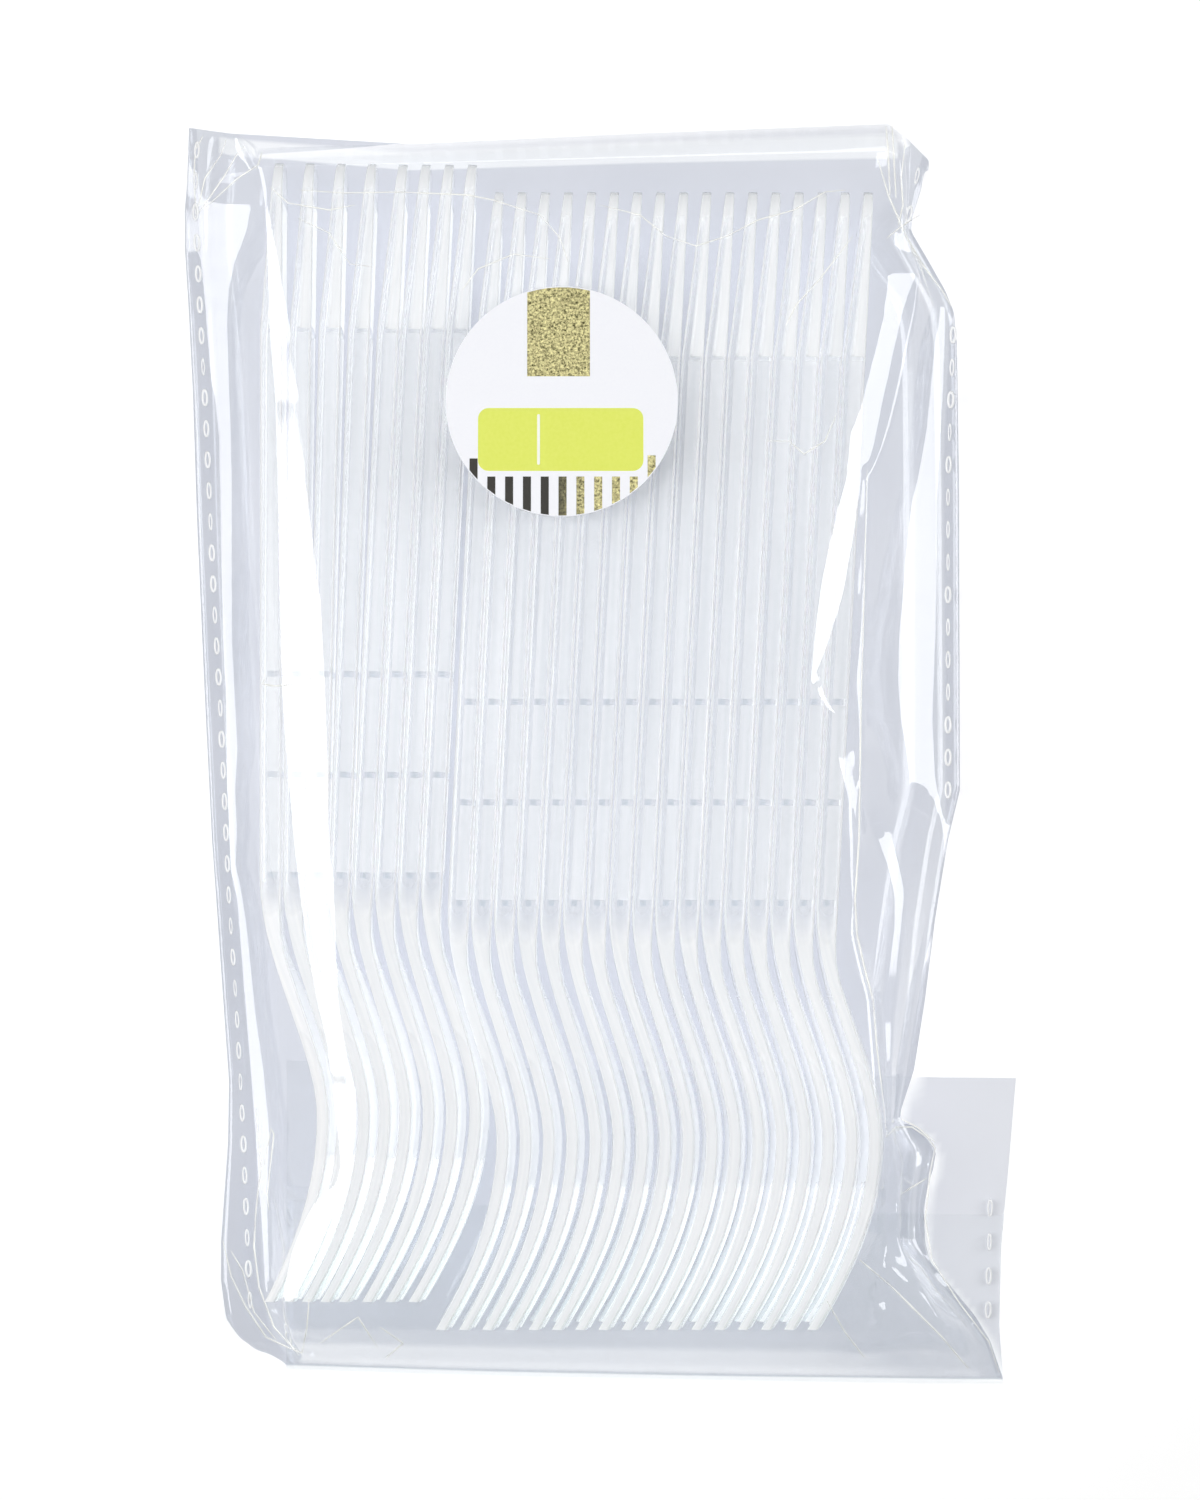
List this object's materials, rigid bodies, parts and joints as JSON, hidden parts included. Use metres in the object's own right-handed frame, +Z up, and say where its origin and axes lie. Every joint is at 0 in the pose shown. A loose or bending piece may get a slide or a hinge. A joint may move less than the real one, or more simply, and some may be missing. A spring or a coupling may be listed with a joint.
{
  "type": "plastic cutlery pack",
  "caption": "Flat retail pack of clear plastic forks nested on edge in a folded, side-welded clear film bag with a round label on its front.",
  "frame": {"origin": "middle of the pack's outline, on the surface that it lies on", "axes": "+X across the row of forks, +Y towards the handle ends, +Z up through the front film and the label"},
  "size_m": [0.1328, 0.2018, 0.0284],
  "materials": {
    "film": "thin clear glossy film, creased",
    "label": "white coated label paper with foil and one printed panel",
    "fork_plastic": "clear injection-moulded polystyrene, polished"
  },
  "bodies": {
    "root": {"film_bag": "film", "round_label": "label", "fork_01": "fork_plastic", "fork_02": "fork_plastic", "fork_03": "fork_plastic", "fork_04": "fork_plastic", "fork_05": "fork_plastic", "fork_06": "fork_plastic", "fork_07": "fork_plastic", "fork_08": "fork_plastic", "fork_09": "fork_plastic", "fork_10": "fork_plastic", "fork_11": "fork_plastic", "fork_12": "fork_plastic", "fork_13": "fork_plastic", "fork_14": "fork_plastic", "fork_15": "fork_plastic", "fork_16": "fork_plastic", "fork_17": "fork_plastic", "fork_18": "fork_plastic", "fork_19": "fork_plastic", "fork_20": "fork_plastic", "fork_21": "fork_plastic", "fork_22": "fork_plastic", "fork_23": "fork_plastic", "fork_24": "fork_plastic", "fork_25": "fork_plastic"}
  },
  "joints": []
}
